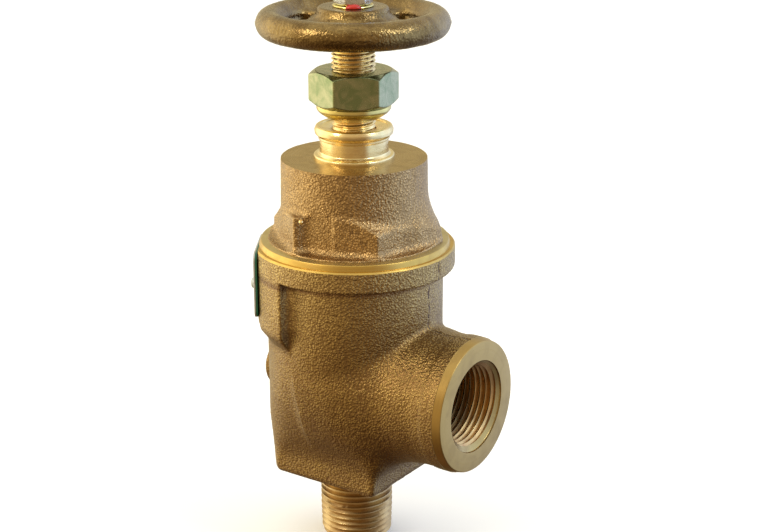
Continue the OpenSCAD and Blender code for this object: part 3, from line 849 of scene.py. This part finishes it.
def bonnet_field(x, y, z):
    """The bonnet casting: a drum over a wrench hexagon that stands taller on one side."""
    r = np.hypot(x, y)
    angle = np.arctan2(y, x)
    drum = r - BONNET_R - ramp(z, 84, TOP_FACE_Z, 0.3, 0.0)
    sides = hexagon(x, y, 2 * HEX_CORNER_R * math.cos(math.pi / 6), HEX_CORNER_DEG, 0.5)
    step, end = math.radians(LUG_DEG + 64), math.radians(LUG_DEG + 120)
    past_step = x * math.cos(step) + y * math.sin(step) - HEX_CORNER_R * math.cos(math.radians(64)) - 0.6
    before_end = -x * math.cos(end) - y * math.sin(end)
    sides = smooth_cut(sides, np.minimum(past_step, before_end), 0.5)
    crown = np.maximum(80.4 + 6.2 * np.cos(angle - CROWN_ANGLE), 81.8)
    lug = np.maximum(np.cos(angle - math.radians(LUG_DEG)), 0) ** 4
    chamfer = np.clip(0.8 - 3 * lug, 0, 0.8)
    top = (z - crown + chamfer * np.maximum(r - BONNET_R, 0)) / 1.15
    hexed = smooth_cut(sides, top, 0.8)
    flare = 1.6 + 8.5 * np.exp(-(((angle - 0.33) / 0.42) ** 2))
    form = smooth_union(drum, hexed, flare)
    foot = smooth_cut(r - SHOULDER_R - 0.4, z - RIM_TOP_Z - 0.75, 0.5)
    form = smooth_union(form, foot, 2.4)
    return np.maximum(form, slab(z, JOINT_Z + 0.5, TOP_FACE_Z + 0.8))


def below_shoulder():
    """Everything the lathe takes off the casting below its hexagon."""
    return [(0, JOINT_Z - 1), (33, JOINT_Z - 1), (33, RIM_TOP_Z + 0.05), (27, RIM_TOP_Z + 0.1),
            (SHOULDER_R, RIM_TOP_Z + 0.35), (0, RIM_TOP_Z + 0.35)]


def bonnet_skirt():
    """The turned foot: it screws into the body, clamps the guide and ends in rim and shoulder."""
    z = 48.5
    return soft([(0, z), (22.35, z), (22.35, 64.7), (23.95, 66.2), (23.95, JOINT_Z), (28.2, JOINT_Z),
                 (28.15, JOINT_Z + 0.15), (27.7, RIM_TOP_Z, 0.35), (27, RIM_TOP_Z + 0.12),
                 (SHOULDER_R, RIM_TOP_Z + 0.37), (19, RIM_TOP_Z + 0.5), (0, RIM_TOP_Z + 0.5)])


def bonnet_neck():
    """The turned neck, with a foot ring, a bead and a small step under the bead."""
    foot = TOP_FACE_Z + 1.1
    bead = NECK_TOP_Z - 2.4
    return soft([(0, TOP_FACE_Z - 3), (11.8, TOP_FACE_Z - 3), (11.8, TOP_FACE_Z + 0.2), (11.75, foot, 0.5),
                 (BONNET_NECK_R + 0.7, foot + 0.1, 0.2), (BONNET_NECK_R, foot + 0.7, 0.6),
                 (BONNET_NECK_R, bead - 1.6, 0.1), (10.35, bead - 1.5, 0.15), (10.4, bead - 0.7, 0.2),
                 (11.35, bead + 0.1, 0.5), (11.5, bead + 1.2, 0.8), (11.1, NECK_TOP_Z - 0.25, 0.4),
                 (10.6, NECK_TOP_Z, 0.3), (10.0, NECK_TOP_Z - 0.1), (0, NECK_TOP_Z - 0.1)], 5)


def stem_gland():
    """The stem's hole: tapping size below, the seal's groove, and a dished mouth."""
    seal_low, seal_high = O_RING_LOW[2], O_RING_HIGH[2]
    tapped_r, groove_r = STEM_R - STEM_DEPTH + 0.1, O_RING_HIGH[0] + 0.05
    dish = NECK_TOP_Z - 0.5
    return [(0, 80), (tapped_r, 80), (tapped_r, seal_low), (groove_r, seal_low), (groove_r, seal_high + 0.1),
            (STEM_R + 0.1, seal_high + 0.1), (STEM_R + 0.1, dish - 0.5), (STEM_R + 0.9, dish),
            (9.7, dish + 0.1), (9.9, NECK_TOP_Z + 1), (0, NECK_TOP_Z + 1)]


def casting_pip():
    """A bead of metal where a bubble in the mould filled."""
    bead = turned("pip", [(0, -0.8), (0.56, -0.56), (0.8, 0), (0.56, 0.56), (0, 0.8)], BRASS_Z, 12)
    a = math.radians(266.9)
    return placed(bead, Matrix.Translation(Vector((24.1 * math.cos(a), 24.1 * math.sin(a), 85.4)) * MM))


def build_bonnet():
    bonnet = cast("bonnet_cast", bonnet_field, (-30, -30, JOINT_Z - 1), (30, 30, TOP_FACE_Z + 2),
                  0.36 if FINE else 0.6, lambda p: sand_skin(p) + parting_seam(p, 0.1), CAST)
    cut(bonnet, turned("lid", rod(30, TOP_FACE_Z, TOP_FACE_Z + 5), TOP_FACE, 200))
    cut(bonnet, turned("below", below_shoulder(), RIM_BRONZE, 240))
    skirt = turned("skirt", bonnet_skirt(), RIM_BRONZE, 240)
    skirt.data.materials.append(SHOULDER)
    for face in skirt.data.polygons:
        face.material_index = int(face.normal.z > 0.95)
    join(bonnet, skirt)
    join(bonnet, turned("neck", bonnet_neck(), NECK_BRONZE, 160))
    join(bonnet, casting_pip())
    bore = [(0, 40), (18.5, 40), (18.5, 90), (16.5, 92), (0, 92)]
    cut(bonnet, turned("bore", bore, CAST_INSIDE, 120))
    cut(bonnet, turned("gland", stem_gland(), NECK_BRONZE, 120))
    cut(bonnet, nut_thread("bonnet_thread", 88, O_RING_LOW[2] + 0.5, THREAD_BRASS))
    stands_for(bonnet, "bonnet", "valve_body", cast_sharp=75)


def nut_thread(name, low, high, material):
    """A cutter for an internal thread that the stem runs in with a little clearance."""
    return trimmed(name, STEM_R + 0.12, STEM_DEPTH, STEM_PITCH, rod(STEM_R + 0.2, low, high), material)


# ---------------------------------------------------------------- stem, nut and washer


def build_stem():
    low, shoulder, square_top = STEM_LOW[2], WHEEL_LOW[2], WHEEL_HIGH[2] - 0.3
    stud_r = 3.0
    blank = [(0, low), (2.2, low), (2.5, low + 0.15), (STEM_R, low + 4.0), (STEM_R, shoulder - 0.9),
             (STEM_R - 0.9, shoulder), (0, shoulder)]
    stem = trimmed("stem_threaded", STEM_R, STEM_DEPTH, STEM_PITCH, blank, THREAD_BRASS)
    join(stem, square_bar("square", SQUARE_HALF, shoulder - 2, square_top, BRASS_Z))
    root, top = square_top - 2, STEM_HIGH[2]
    stud = [(0, root), (stud_r - 0.6, root), (stud_r, root + 0.6), (stud_r, top - 0.5),
            (stud_r - 0.5, top), (0, top)]
    join(stem, trimmed("stud", stud_r, 0.45, 0.9, stud, THREAD_BRASS))
    stands_for(stem, "stem", "adjusting_stem", 30)


def hex_nut(name, across_flats, low, high, corner_deg, material, step, bore_r):
    """A nut with rounded edges; a cone at each end cuts the arcs across its corners."""
    lean = 0.62

    def field(x, y, z):
        r = np.hypot(x, y)
        sides = hexagon(x, y, across_flats, corner_deg, 0.35)
        cone = np.maximum(z - high, low - z) + lean * np.maximum(r - across_flats / 2 + 0.35, 0)
        return smooth_cut(sides, cone / 1.15, 0.3)

    reach = across_flats / 2 * 1.16 + 3 * step
    nut = cast(name, field, (-reach, -reach, low - 3 * step), (reach, reach, high + 3 * step), step,
               lambda p: 0.012 * (1 + value_noise(p, 1.7, 31)), material)
    funnel = soft([(0, low - 1), (bore_r + 1.4, low - 1), (bore_r - 0.2, low + 0.9),
                   (bore_r - 0.2, high - 0.9), (bore_r + 1.4, high + 1), (0, high + 1)])
    return cut(nut, turned("funnel", funnel, material, 96))


def build_lock_nut():
    low, high = NUT_LOW[2], NUT_HIGH[2]
    root = STEM_R - STEM_DEPTH + 0.35
    nut = hex_nut("lock_nut_hex", 22.7, low, high, 39.5, CHROMATE, 0.24 if FINE else 0.4, root)
    cut(nut, nut_thread("nut_thread", low - 1, high + 1, CHROMATE))
    stands_for(nut, "lock_nut", "lock_nut", 32)


def build_washer(node, body, profile, segments):
    stands_for(turned(node + "_turned", profile, WASHER_GOLD, segments), node, body)


def build_lock_washer():
    low, high, wide = WASHER_LOW[2], WASHER_HIGH[2], WASHER_HIGH[0]
    profile = soft([(6.9, low + 0.3, 0.2), (7.2, low, 0.2), (7.7, low, 0.3), (wide - 0.9, low + 1.5, 1.6),
                    (wide, low + 2.5, 1.2), (wide, high, 0.45), (6.9, high, 0.2)], 6)
    build_washer("lock_washer", "lock_nut_seat", profile, 192)


# ---------------------------------------------------------------- handwheel

RIM_Z = WHEEL_LOW[2] + 5.5
RIM_R = 4.0
RIM_MEAN_R = WHEEL_HIGH[0] - RIM_R
PAINT_ANGLE = math.radians(-53)
WINDOWS = 5
WINDOW_HALF = math.radians(24)
FIRST_WINDOW = math.radians(36 - 55)


def window_field(r, angle):
    fold = 2 * math.pi / WINDOWS
    off = np.mod(angle - FIRST_WINDOW + fold / 2, fold) - fold / 2
    sides = (np.abs(off) - WINDOW_HALF) * r
    return smooth_cut(sides, slab(r, 13.0, 19.2), 3.2)


def wheel_field(x, y, z):
    """The wheel casting: a round rim, a thin pierced web and a flared hub."""
    r = np.hypot(x, y)
    rim = np.hypot(r - RIM_MEAN_R, z - RIM_Z) - RIM_R
    web = np.maximum(slab(z, RIM_Z - 1.8, RIM_Z + 1.2), r - RIM_MEAN_R)
    web = smooth_cut(web, -window_field(r, np.arctan2(y, x)), 1.6)
    hub_r = ramp(z, WHEEL_LOW[2] + 1, RIM_Z, 9.9, 11.4) - ramp(z, RIM_Z, WHEEL_HIGH[2], 0.0, 1.3)
    hub = smooth_cut(r - hub_r, slab(z, WHEEL_LOW[2], WHEEL_HIGH[2]), 1.0)
    return smooth_union(smooth_union(web, hub, 2.4), rim, 2.2)


def wheel_skin(p):
    """Coarser sand than the body, a smoother top on the hub and a broken ridge round the rim."""
    r = np.hypot(p[:, 0], p[:, 1])
    hub_top = (p[:, 2] > WHEEL_HIGH[2] - 0.3) & (r < 11)
    rough = np.where(hub_top, 0.25, 1.0)
    broken = np.clip(0.5 + value_noise(p, 3.0, 51), 0, 1)
    ridge = 0.2 * broken * np.exp(-(((p[:, 2] - RIM_Z) / 0.3) ** 2)) * (r > RIM_MEAN_R)
    return rough * sand_skin(p, 0.05, 1.0) - ridge


def build_handwheel():
    edge = WHEEL_HIGH[0] + 1
    wheel = cast("handwheel_cast", wheel_field, (-edge, -edge, WHEEL_LOW[2] - 1),
                 (edge, edge, WHEEL_HIGH[2] + 1), 0.36 if FINE else 0.6, wheel_skin, WHEEL_CAST)
    hole = square_bar("hole", SQUARE_HALF + 0.05, WHEEL_LOW[2] - 1, WHEEL_HIGH[2] + 1, BRASS_Z)
    cut(wheel, hole)
    stands_for(wheel, "handwheel", "adjusting_stem", cast_sharp=75)


def build_wheel_washer():
    low, high, wide = DISC_LOW[2], DISC_HIGH[2], DISC_HIGH[0]
    profile = soft([(3.05, low), (wide - 0.1, low, 0.08), (wide, low + 0.2, 0.15), (wide - 0.15, high, 0.15),
                    (3.05, high)])
    build_washer("wheel_washer", "adjusting_stem", profile, 128)


def build_seal_paint():
    """A dab of red sealing lacquer that bridges the nut, its washer and the hub."""
    low, high, wide = DISC_LOW[2], DISC_HIGH[2], DISC_HIGH[0]

    def field(x, y, z):
        r = np.hypot(x, y)
        off = np.mod(np.arctan2(y, x) - PAINT_ANGLE + math.pi, 2 * math.pi) - math.pi
        dome = ((r - wide + 0.2) / 0.9) ** 2 + (off * wide / 2.4) ** 2 + ((z - low - 0.25) / 1.0) ** 2
        return smooth_cut((np.sqrt(dome) - 1) * 0.8, low + 0.01 - z, 0.1)

    reach = wide + 1.5
    dab = cast("seal_paint", field, (-reach, -reach, low - 0.4), (reach, reach, high + 1.5), 0.14,
               lambda p: 0.05 * (1 + value_noise(p, 0.9, 61)), RED_LACQUER)
    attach(smooth(dab, 60), "adjusting_stem")


def build_wheel_nut():
    low, high = TOP_NUT_LOW[2], TOP_NUT_HIGH[2]
    nut = hex_nut("wheel_nut_hex", 10.1, low, high, -17.1, ZINC, 0.16 if FINE else 0.25, 3.25)
    stands_for(nut, "wheel_nut", "adjusting_stem", 32)


# ---------------------------------------------------------------- nameplate and its screws

PLATE_BACK = PAD_FLAT + PANEL_OUT
PLATE_THICK = 0.6
PLATE_W = 22.0
PLATE_H = PLATE_HIGH[2] - PLATE_LOW[2]
PLATE_Z = plate_middle[2]
SCREW_SIDE = 7.0


def pad_matrix(side=0.0, z=0.0):
    """From a plate drawn flat (x sideways, y up, z out) to its place on the pad."""
    upright = Matrix(((0, 0, 1, 0), (1, 0, 0, 0), (0, 1, 0, 0), (0, 0, 0, 1)))
    move = Matrix.Translation(Vector((side, z, PLATE_BACK)) * MM)
    return Matrix.Rotation(PAD_ANGLE, 4, "Z") @ upright @ move


def plate_outline(inset, corner=2.5, steps=6):
    points = []
    r = corner - inset
    for k, (sx, sy) in enumerate(((1, 1), (-1, 1), (-1, -1), (1, -1))):
        cx, cy = sx * (PLATE_W / 2 - corner), sy * (PLATE_H / 2 - corner)
        for s in range(steps + 1):
            a = math.pi / 2 * (k + s / steps)
            points.append((cx + r * math.cos(a), cy + r * math.sin(a)))
    return points


def build_nameplate():
    """A pressed plate: bare rounded edge and border, enamel sunk between, blank face."""
    sections = [(0.3, -0.5), (0.05, -0.45), (0.05, 0.1), (0.0, 0.15), (0.0, 0.5), (0.15, PLATE_THICK),
                (0.9, PLATE_THICK), (1.0, 0.5)]
    rings = [[(x, y, out) for x, y in plate_outline(inset)] for inset, out in sections]
    plate = lofted("nameplate_enamel", rings, ALUMINIUM, GREEN_ENAMEL)
    back = 2 * len(rings[0])
    for face in (*plate.data.polygons[:back], *plate.data.polygons[-2:]):
        face.material_index = 1
    for side in (-SCREW_SIDE, SCREW_SIDE):
        hole = turned("hole", rod(1.05, -1, 1), ALUMINIUM, 32)
        cut(plate, placed(hole, Matrix.Translation((side * MM, 0, 0))))
    placed(plate, pad_matrix(0, PLATE_Z))
    stands_for(plate, "nameplate", "valve_body", 40)


def build_drive_screws():
    """Round heads with a flat spot, on twisted-in shanks."""
    seat = PLATE_THICK + 0.01
    top = PLATE_THICK + 1.28
    profile = soft([(0, -3.0), (0.7, -3.0), (0.98, -2.6), (0.98, seat), (1.6, seat, 0.1),
                    (1.7, seat + 0.24, 0.2), (1.35, seat + 0.94, 0.7), (0.5, top, 0.8), (0, top)], 5)
    heads = placed(turned("drive_screw_heads", profile, ALUMINIUM, 64), pad_matrix(-SCREW_SIDE, PLATE_Z))
    other = placed(turned("other", profile, ALUMINIUM, 64), pad_matrix(SCREW_SIDE, PLATE_Z))
    join(heads, other)
    stands_for(heads, "drive_screws", "valve_body")


# ---------------------------------------------------------------- spring

WIRE_R = 1.7
COIL_R = SPRING_HIGH[0] - WIRE_R
COILS = 6.0
CLOSED = 0.9


def coil_height(t):
    """Height of the wire's centre after t turns: touching coils at both ends, open between."""
    low, high = SPRING_LOW[2] + WIRE_R, SPRING_HIGH[2] - WIRE_R
    close = 2 * WIRE_R * 1.01
    if t < CLOSED:
        return low + t * close
    if t > COILS - CLOSED:
        return high - (COILS - t) * close
    share = (t - CLOSED) / (COILS - 2 * CLOSED)
    return low + CLOSED * close + share * (high - low - 2 * CLOSED * close)


def build_spring_half(name, first, last, moving_z):
    """Half the coils."""
    rows, sides = 150, 16
    rings = []
    for t in np.linspace(first, last, rows + 1):
        a, z = 2 * math.pi * t, coil_height(t)
        taper = 0.75 if min(t, COILS - t) < 0.02 else 1.0
        ring = []
        for b in np.linspace(0, 2 * math.pi, sides, endpoint=False):
            r = COIL_R + taper * WIRE_R * math.cos(b)
            ring.append((r * math.cos(a), r * math.sin(a), z + taper * WIRE_R * math.sin(b)))
        rings.append(ring)
    half = smooth(lofted(name, rings, SPRING_WIRE), 50)
    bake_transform(half)
    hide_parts("spring")


def build_spring():
    middle = COILS / 2
    low, high = SPRING_LOW[2] + 4 * WIRE_R, SPRING_HIGH[2] - 4 * WIRE_R
    build_spring_half("spring_lower", 0, middle, low)
    build_spring_half("spring_upper", middle, COILS, high)


# ---------------------------------------------------------------- parts that keep their CAD shape

FINISHES = {
    "seat_nozzle": BRASS_Z,
    "disc_insert": PTFE,
    "disc_retainer": STAINLESS,
    "disc_screw": STAINLESS,
    "disc_holder": BRASS_Z,
    "spindle": STAINLESS,
    "spindle_pin": STAINLESS,
    "disc_guide": NECK_BRONZE,
    "lower_spring_button": PLAIN_STEEL,
    "upper_spring_button": PLAIN_STEEL,
    "bonnet_gasket": FIBRE,
    "stem_oring": RUBBER,
}


def finish_cad_parts():
    for node, material in FINISHES.items():
        mesh = frame["nodes"][node].data
        mesh.materials.clear()
        mesh.materials.append(material)


# ---------------------------------------------------------------- studio

VIEW_AZIMUTH = math.radians(34.87)
VIEW_ELEVATION = math.radians(18.48)
VIEW_ROLL = math.radians(-0.16)
VIEW_DISTANCE = 506.24
VIEW_TARGET = (6.08, 4.24, 65.9)
LENS = 80.83
WORLD_STRENGTH = 2.4
WALLS = (
    (-180, (0.34, 0.30, 0.19)),
    (-145, (0.48, 0.42, 0.28)),
    (-132, (1.00, 0.94, 0.74)),
    (-92, (1.00, 0.93, 0.73)),
    (-70, (0.57, 0.465, 0.295)),
    (-52, (0.42, 0.33, 0.19)),
    (-20, (0.245, 0.178, 0.105)),
    (36, (0.205, 0.152, 0.098)),
    (56, (0.40, 0.48, 0.64)),
    (124, (0.52, 0.63, 0.90)),
    (145, (0.36, 0.40, 0.48)),
    (180, (0.34, 0.30, 0.19)),
)
WALL_SHARE = (
    (-1.0, (0.12, 0.07, 0.05)),
    (-0.62, (0.34, 0.28, 0.22)),
    (-0.36, (0.85,) * 3),
    (-0.1, (1.0,) * 3),
    (0.5, (0.9,) * 3),
    (0.9, (0.1,) * 3),
)
OVERHEAD = ((0.35, (0.0, 0.0, 0.0)), (0.8, (0.27, 0.25, 0.20)), (1.0, (0.55, 0.53, 0.48)))


def facing(azimuth, elevation):
    """A direction away from the part, and the turn that makes a camera or lamp look back along it."""
    flat = math.cos(elevation)
    sight = Vector((math.sin(azimuth) * flat, -math.cos(azimuth) * flat, math.sin(elevation)))
    return sight, sight.to_track_quat("Z", "Y").to_matrix().to_4x4()


def build_camera():
    sight, turn = facing(VIEW_AZIMUTH, VIEW_ELEVATION)
    data = bpy.data.cameras.new("camera")
    data.lens = LENS
    data.sensor_width = 36
    data.clip_start = 0.01
    camera = linked("camera", data)
    place = Matrix.Translation((Vector(VIEW_TARGET) + sight * VIEW_DISTANCE) * MM)
    camera.matrix_world = place @ turn @ Matrix.Rotation(VIEW_ROLL, 4, "Z")
    bpy.context.scene.camera = camera


def build_key(name, azimuth, elevation, watts, colour):
    """A soft box, placed by its direction from the part as seen by the camera."""
    sight, turn = facing(VIEW_AZIMUTH + math.radians(azimuth), math.radians(elevation))
    data = bpy.data.lights.new(name, "AREA")
    data.size = 0.22
    data.energy = watts
    data.color = colour
    lamp = linked(name, data)
    lamp.matrix_world = Matrix.Translation(Vector(VIEW_TARGET) * MM + sight * 0.8) @ turn


def build_floor():
    """A pale sheet. The object's reflections look past it, to the studio's own lower half."""
    floor = to_object("floor", [(x * 3000, y * 3000, INLET_Z) for x, y in SQUARE], [(0, 1, 2, 3)])
    m = Look("pale_floor")
    weave = m.noise(40.0, 2)
    pale = m.blend(m.fade(weave, 0.3, 0.7), (0.93, 0.93, 0.925), (0.95, 0.95, 0.95))
    glow = {"Emission Color": (0.9, 0.97, 1.0), "Emission Strength": 0.12}
    floor.data.materials.append(m.done(pale, 0.0, 0.9, **glow))
    floor.visible_glossy = False
    floor.visible_diffuse = False
    floor.visible_shadow = False


def build_world():
    """White studio walls: bright panels left and right of the camera, dimmer in front and above."""
    world = bpy.data.worlds.new("studio")
    bpy.context.scene.world = world
    g = Graph(world)
    coords = g.node("ShaderNodeTexCoord").outputs["Generated"]

    def along(*direction):
        return g.vector("DOT_PRODUCT", coords, direction, "Value")

    s, c = math.sin(VIEW_AZIMUTH), math.cos(VIEW_AZIMUTH)
    turn = g.maths("ARCTAN2", along(c, s, 0), along(s, -c, 0))
    around = g.maths("MULTIPLY_ADD", turn, 1 / (2 * math.pi), 0.5)
    height = g.maths("MULTIPLY_ADD", along(0, 0, 1), 0.5, 0.5)
    light = g.ramp(around, [(spot / 360 + 0.5, colour) for spot, colour in WALLS])
    for stops, how in ((WALL_SHARE, "MULTIPLY"), (OVERHEAD, "ADD")):
        by_height = g.ramp(height, [(0.5 + 0.5 * up, colour) for up, colour in stops])
        light = g.blend(1, light, by_height, how)
    shine = g.node("ShaderNodeBackground", light, WORLD_STRENGTH)
    seen = g.node("ShaderNodeBackground", (0.97, 0.97, 0.97))
    to_camera = g.node("ShaderNodeLightPath").outputs["Is Camera Ray"]
    choose = g.node("ShaderNodeMixShader", to_camera, shine.outputs[0], seen.outputs[0])
    g.node("ShaderNodeOutputWorld", choose.outputs[0])


build_body()
build_bonnet()
build_stem()
build_lock_nut()
build_lock_washer()
build_handwheel()
build_wheel_washer()
build_wheel_nut()
build_seal_paint()
build_nameplate()
build_drive_screws()
build_spring()
finish_cad_parts()
build_floor()
build_world()
build_key("key_left", -58, 38, 1.6, (1.0, 0.93, 0.80))
build_key("key_right", 62, 42, 1.35, (0.90, 0.95, 1.0))
build_camera()
bpy.context.scene.view_settings.view_transform = "Standard"
